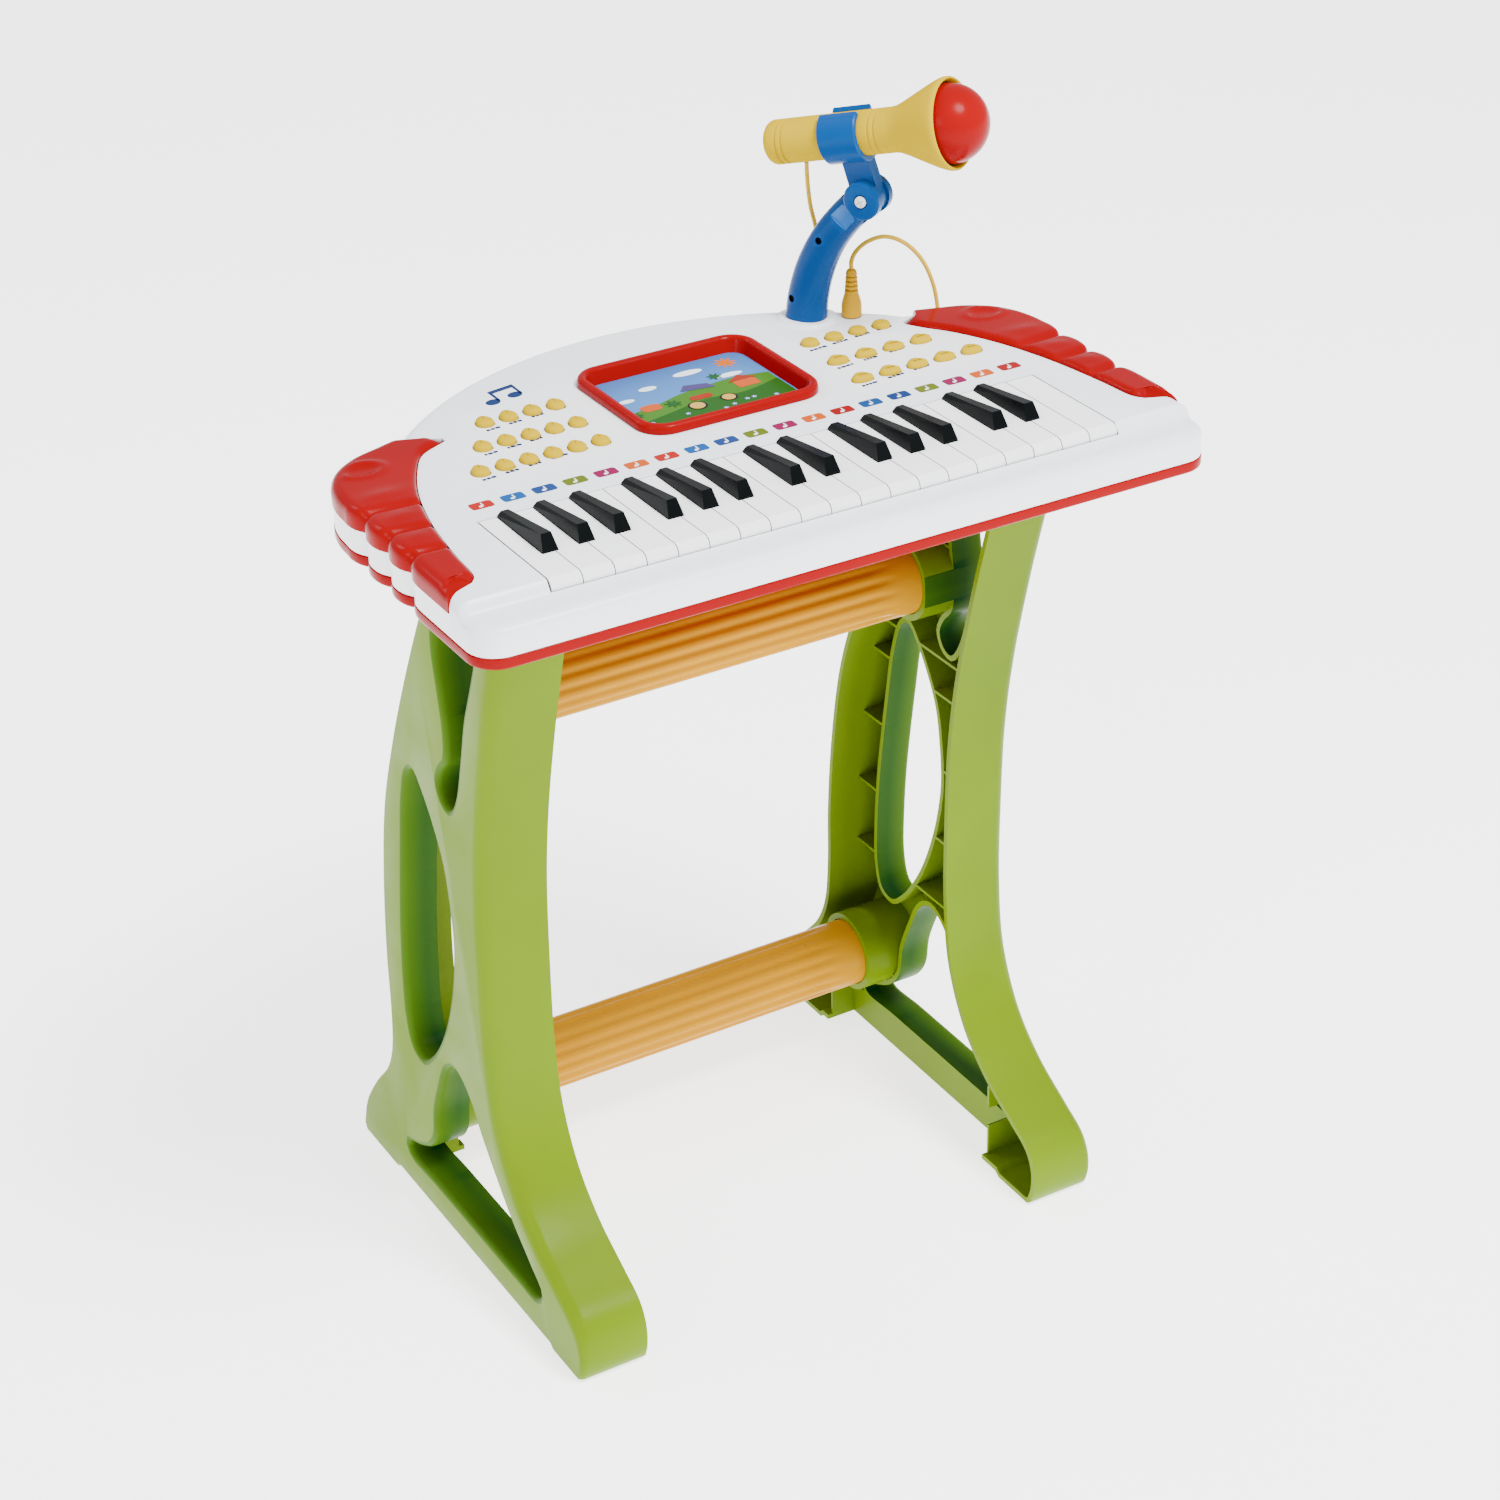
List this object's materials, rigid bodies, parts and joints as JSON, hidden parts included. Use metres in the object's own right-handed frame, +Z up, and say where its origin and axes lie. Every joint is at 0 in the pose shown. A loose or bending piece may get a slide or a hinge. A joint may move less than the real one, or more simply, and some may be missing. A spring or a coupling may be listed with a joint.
{
  "type": "toy electronic keyboard",
  "caption": "Child's toy electronic keyboard with hinged keys and press buttons on a two-frame stand, with a tilting microphone on a curved arm.",
  "frame": {"origin": "on the floor, at the centre of the object's footprint box", "axes": "+X to the player's right along the keys, +Y away from the player, +Z up"},
  "size_m": [0.4792, 0.349, 0.7235],
  "materials": {
    "white_plastic": "satin moulded white with a faint blue cast",
    "white_key_plastic": "glossy white key",
    "black_key_plastic": "glossy near-black key",
    "red_plastic": "glossy bright red",
    "ball_plastic": "glossy red ball",
    "yellow_plastic": "satin lemon yellow",
    "amber_plastic": "satin amber",
    "green_plastic": "satin leaf green",
    "blue_plastic": "satin blue",
    "printed_panel": "printed picture sheet",
    "cord_rubber": "soft yellow cord",
    "plug_plastic": "moulded amber plug",
    "black_plastic": "matt black",
    "circuit_board": "green board",
    "screw_steel": "bright screw"
  },
  "bodies": {
    "stand_and_case": {"top_shell": "white_plastic", "base_shell": "red_plastic", "left_grip": "red_plastic", "right_grip": "red_plastic", "screen_bezel": "red_plastic", "picture_panel": "printed_panel", "right_leg_frame": "green_plastic", "left_leg_frame": "green_plastic", "upper_cross_tube": "amber_plastic", "lower_cross_tube": "amber_plastic", "arm_left_half": "blue_plastic", "arm_right_half": "blue_plastic", "hinge_screw": "screw_steel", "mic_cord": "cord_rubber", "mic_plug": "plug_plastic", "jack_socket": "black_plastic", "speaker": "black_plastic", "main_board": "circuit_board", "battery_cover": "red_plastic"},
    "white_key_01": {"white_key_01": "white_key_plastic"},
    "white_key_02": {"white_key_02": "white_key_plastic"},
    "white_key_03": {"white_key_03": "white_key_plastic"},
    "white_key_04": {"white_key_04": "white_key_plastic"},
    "white_key_05": {"white_key_05": "white_key_plastic"},
    "white_key_06": {"white_key_06": "white_key_plastic"},
    "white_key_07": {"white_key_07": "white_key_plastic"},
    "white_key_08": {"white_key_08": "white_key_plastic"},
    "white_key_09": {"white_key_09": "white_key_plastic"},
    "white_key_10": {"white_key_10": "white_key_plastic"},
    "white_key_11": {"white_key_11": "white_key_plastic"},
    "white_key_12": {"white_key_12": "white_key_plastic"},
    "white_key_13": {"white_key_13": "white_key_plastic"},
    "white_key_14": {"white_key_14": "white_key_plastic"},
    "white_key_15": {"white_key_15": "white_key_plastic"},
    "white_key_16": {"white_key_16": "white_key_plastic"},
    "white_key_17": {"white_key_17": "white_key_plastic"},
    "white_key_18": {"white_key_18": "white_key_plastic"},
    "white_key_19": {"white_key_19": "white_key_plastic"},
    "black_key_01": {"black_key_01": "black_key_plastic"},
    "black_key_02": {"black_key_02": "black_key_plastic"},
    "black_key_03": {"black_key_03": "black_key_plastic"},
    "black_key_04": {"black_key_04": "black_key_plastic"},
    "black_key_05": {"black_key_05": "black_key_plastic"},
    "black_key_06": {"black_key_06": "black_key_plastic"},
    "black_key_07": {"black_key_07": "black_key_plastic"},
    "black_key_08": {"black_key_08": "black_key_plastic"},
    "black_key_09": {"black_key_09": "black_key_plastic"},
    "black_key_10": {"black_key_10": "black_key_plastic"},
    "black_key_11": {"black_key_11": "black_key_plastic"},
    "black_key_12": {"black_key_12": "black_key_plastic"},
    "black_key_13": {"black_key_13": "black_key_plastic"},
    "left_buttons_back": {"left_buttons_back": "yellow_plastic"},
    "left_buttons_middle": {"left_buttons_middle": "yellow_plastic"},
    "left_buttons_front": {"left_buttons_front": "yellow_plastic"},
    "right_buttons_back": {"right_buttons_back": "yellow_plastic"},
    "right_buttons_middle": {"right_buttons_middle": "yellow_plastic"},
    "right_buttons_front": {"right_buttons_front": "yellow_plastic"},
    "microphone": {"mic_clip": "blue_plastic", "mic_barrel": "yellow_plastic", "mic_head": "ball_plastic"}
  },
  "joints": [
    {"name": "mic_tilt", "type": "hinge", "parent": "stand_and_case", "child": "microphone", "pos_m": [0.14179, 0.04853, 0.6425], "axis": [0.848, 0.5299, 0], "range_deg": [-28, 30], "deforming": ["mic_cord"]},
    {"name": "left_buttons_back_press", "type": "slide", "parent": "stand_and_case", "child": "left_buttons_back", "axis": [0, 0, -1], "range_m": [0, 0.002], "stiffness_N_per_m": 300, "springref_m": -0.001},
    {"name": "left_buttons_middle_press", "type": "slide", "parent": "stand_and_case", "child": "left_buttons_middle", "axis": [0, 0, -1], "range_m": [0, 0.002], "stiffness_N_per_m": 300, "springref_m": -0.001},
    {"name": "left_buttons_front_press", "type": "slide", "parent": "stand_and_case", "child": "left_buttons_front", "axis": [0, 0, -1], "range_m": [0, 0.002], "stiffness_N_per_m": 300, "springref_m": -0.001},
    {"name": "right_buttons_back_press", "type": "slide", "parent": "stand_and_case", "child": "right_buttons_back", "axis": [0, 0, -1], "range_m": [0, 0.002], "stiffness_N_per_m": 300, "springref_m": -0.001},
    {"name": "right_buttons_middle_press", "type": "slide", "parent": "stand_and_case", "child": "right_buttons_middle", "axis": [0, 0, -1], "range_m": [0, 0.002], "stiffness_N_per_m": 300, "springref_m": -0.001},
    {"name": "right_buttons_front_press", "type": "slide", "parent": "stand_and_case", "child": "right_buttons_front", "axis": [0, 0, -1], "range_m": [0, 0.002], "stiffness_N_per_m": 300, "springref_m": -0.001},
    {"name": "black_key_01_press", "type": "hinge", "parent": "stand_and_case", "child": "black_key_01", "pos_m": [0, -0.0475, 0.5495], "axis": [1, 0, 0], "range_deg": [0, 2.3], "stiffness_Nm_per_rad": 0.6, "springref_deg": -2.86},
    {"name": "black_key_02_press", "type": "hinge", "parent": "stand_and_case", "child": "black_key_02", "pos_m": [0, -0.0475, 0.5495], "axis": [1, 0, 0], "range_deg": [0, 2.3], "stiffness_Nm_per_rad": 0.6, "springref_deg": -2.86},
    {"name": "black_key_03_press", "type": "hinge", "parent": "stand_and_case", "child": "black_key_03", "pos_m": [0, -0.0475, 0.5495], "axis": [1, 0, 0], "range_deg": [0, 2.3], "stiffness_Nm_per_rad": 0.6, "springref_deg": -2.86},
    {"name": "white_key_01_press", "type": "hinge", "parent": "stand_and_case", "child": "white_key_01", "pos_m": [0, -0.0475, 0.5495], "axis": [1, 0, 0], "range_deg": [0, 1.9], "stiffness_Nm_per_rad": 0.6, "springref_deg": -2.86},
    {"name": "white_key_02_press", "type": "hinge", "parent": "stand_and_case", "child": "white_key_02", "pos_m": [0, -0.0475, 0.5495], "axis": [1, 0, 0], "range_deg": [0, 1.9], "stiffness_Nm_per_rad": 0.6, "springref_deg": -2.86},
    {"name": "white_key_03_press", "type": "hinge", "parent": "stand_and_case", "child": "white_key_03", "pos_m": [0, -0.0475, 0.5495], "axis": [1, 0, 0], "range_deg": [0, 1.9], "stiffness_Nm_per_rad": 0.6, "springref_deg": -2.86},
    {"name": "white_key_04_press", "type": "hinge", "parent": "stand_and_case", "child": "white_key_04", "pos_m": [0, -0.0475, 0.5495], "axis": [1, 0, 0], "range_deg": [0, 1.9], "stiffness_Nm_per_rad": 0.6, "springref_deg": -2.86},
    {"name": "white_key_05_press", "type": "hinge", "parent": "stand_and_case", "child": "white_key_05", "pos_m": [0, -0.0475, 0.5495], "axis": [1, 0, 0], "range_deg": [0, 1.9], "stiffness_Nm_per_rad": 0.6, "springref_deg": -2.86},
    {"name": "white_key_06_press", "type": "hinge", "parent": "stand_and_case", "child": "white_key_06", "pos_m": [0, -0.0475, 0.5495], "axis": [1, 0, 0], "range_deg": [0, 1.9], "stiffness_Nm_per_rad": 0.6, "springref_deg": -2.86},
    {"name": "white_key_07_press", "type": "hinge", "parent": "stand_and_case", "child": "white_key_07", "pos_m": [0, -0.0475, 0.5495], "axis": [1, 0, 0], "range_deg": [0, 1.9], "stiffness_Nm_per_rad": 0.6, "springref_deg": -2.86},
    {"name": "white_key_08_press", "type": "hinge", "parent": "stand_and_case", "child": "white_key_08", "pos_m": [0, -0.0475, 0.5495], "axis": [1, 0, 0], "range_deg": [0, 1.9], "stiffness_Nm_per_rad": 0.6, "springref_deg": -2.86},
    {"name": "white_key_09_press", "type": "hinge", "parent": "stand_and_case", "child": "white_key_09", "pos_m": [0, -0.0475, 0.5495], "axis": [1, 0, 0], "range_deg": [0, 1.9], "stiffness_Nm_per_rad": 0.6, "springref_deg": -2.86},
    {"name": "white_key_10_press", "type": "hinge", "parent": "stand_and_case", "child": "white_key_10", "pos_m": [0, -0.0475, 0.5495], "axis": [1, 0, 0], "range_deg": [0, 1.9], "stiffness_Nm_per_rad": 0.6, "springref_deg": -2.86},
    {"name": "white_key_11_press", "type": "hinge", "parent": "stand_and_case", "child": "white_key_11", "pos_m": [0, -0.0475, 0.5495], "axis": [1, 0, 0], "range_deg": [0, 1.9], "stiffness_Nm_per_rad": 0.6, "springref_deg": -2.86},
    {"name": "white_key_12_press", "type": "hinge", "parent": "stand_and_case", "child": "white_key_12", "pos_m": [0, -0.0475, 0.5495], "axis": [1, 0, 0], "range_deg": [0, 1.9], "stiffness_Nm_per_rad": 0.6, "springref_deg": -2.86},
    {"name": "white_key_13_press", "type": "hinge", "parent": "stand_and_case", "child": "white_key_13", "pos_m": [0, -0.0475, 0.5495], "axis": [1, 0, 0], "range_deg": [0, 1.9], "stiffness_Nm_per_rad": 0.6, "springref_deg": -2.86},
    {"name": "white_key_14_press", "type": "hinge", "parent": "stand_and_case", "child": "white_key_14", "pos_m": [0, -0.0475, 0.5495], "axis": [1, 0, 0], "range_deg": [0, 1.9], "stiffness_Nm_per_rad": 0.6, "springref_deg": -2.86},
    {"name": "white_key_15_press", "type": "hinge", "parent": "stand_and_case", "child": "white_key_15", "pos_m": [0, -0.0475, 0.5495], "axis": [1, 0, 0], "range_deg": [0, 1.9], "stiffness_Nm_per_rad": 0.6, "springref_deg": -2.86},
    {"name": "white_key_16_press", "type": "hinge", "parent": "stand_and_case", "child": "white_key_16", "pos_m": [0, -0.0475, 0.5495], "axis": [1, 0, 0], "range_deg": [0, 1.9], "stiffness_Nm_per_rad": 0.6, "springref_deg": -2.86},
    {"name": "white_key_17_press", "type": "hinge", "parent": "stand_and_case", "child": "white_key_17", "pos_m": [0, -0.0475, 0.5495], "axis": [1, 0, 0], "range_deg": [0, 1.9], "stiffness_Nm_per_rad": 0.6, "springref_deg": -2.86},
    {"name": "white_key_18_press", "type": "hinge", "parent": "stand_and_case", "child": "white_key_18", "pos_m": [0, -0.0475, 0.5495], "axis": [1, 0, 0], "range_deg": [0, 1.9], "stiffness_Nm_per_rad": 0.6, "springref_deg": -2.86},
    {"name": "white_key_19_press", "type": "hinge", "parent": "stand_and_case", "child": "white_key_19", "pos_m": [0, -0.0475, 0.5495], "axis": [1, 0, 0], "range_deg": [0, 1.9], "stiffness_Nm_per_rad": 0.6, "springref_deg": -2.86},
    {"name": "black_key_04_press", "type": "hinge", "parent": "stand_and_case", "child": "black_key_04", "pos_m": [0, -0.0475, 0.5495], "axis": [1, 0, 0], "range_deg": [0, 2.3], "stiffness_Nm_per_rad": 0.6, "springref_deg": -2.86},
    {"name": "black_key_05_press", "type": "hinge", "parent": "stand_and_case", "child": "black_key_05", "pos_m": [0, -0.0475, 0.5495], "axis": [1, 0, 0], "range_deg": [0, 2.3], "stiffness_Nm_per_rad": 0.6, "springref_deg": -2.86},
    {"name": "black_key_06_press", "type": "hinge", "parent": "stand_and_case", "child": "black_key_06", "pos_m": [0, -0.0475, 0.5495], "axis": [1, 0, 0], "range_deg": [0, 2.3], "stiffness_Nm_per_rad": 0.6, "springref_deg": -2.86},
    {"name": "black_key_07_press", "type": "hinge", "parent": "stand_and_case", "child": "black_key_07", "pos_m": [0, -0.0475, 0.5495], "axis": [1, 0, 0], "range_deg": [0, 2.3], "stiffness_Nm_per_rad": 0.6, "springref_deg": -2.86},
    {"name": "black_key_08_press", "type": "hinge", "parent": "stand_and_case", "child": "black_key_08", "pos_m": [0, -0.0475, 0.5495], "axis": [1, 0, 0], "range_deg": [0, 2.3], "stiffness_Nm_per_rad": 0.6, "springref_deg": -2.86},
    {"name": "black_key_09_press", "type": "hinge", "parent": "stand_and_case", "child": "black_key_09", "pos_m": [0, -0.0475, 0.5495], "axis": [1, 0, 0], "range_deg": [0, 2.3], "stiffness_Nm_per_rad": 0.6, "springref_deg": -2.86},
    {"name": "black_key_10_press", "type": "hinge", "parent": "stand_and_case", "child": "black_key_10", "pos_m": [0, -0.0475, 0.5495], "axis": [1, 0, 0], "range_deg": [0, 2.3], "stiffness_Nm_per_rad": 0.6, "springref_deg": -2.86},
    {"name": "black_key_11_press", "type": "hinge", "parent": "stand_and_case", "child": "black_key_11", "pos_m": [0, -0.0475, 0.5495], "axis": [1, 0, 0], "range_deg": [0, 2.3], "stiffness_Nm_per_rad": 0.6, "springref_deg": -2.86},
    {"name": "black_key_12_press", "type": "hinge", "parent": "stand_and_case", "child": "black_key_12", "pos_m": [0, -0.0475, 0.5495], "axis": [1, 0, 0], "range_deg": [0, 2.3], "stiffness_Nm_per_rad": 0.6, "springref_deg": -2.86},
    {"name": "black_key_13_press", "type": "hinge", "parent": "stand_and_case", "child": "black_key_13", "pos_m": [0, -0.0475, 0.5495], "axis": [1, 0, 0], "range_deg": [0, 2.3], "stiffness_Nm_per_rad": 0.6, "springref_deg": -2.86}
  ]
}
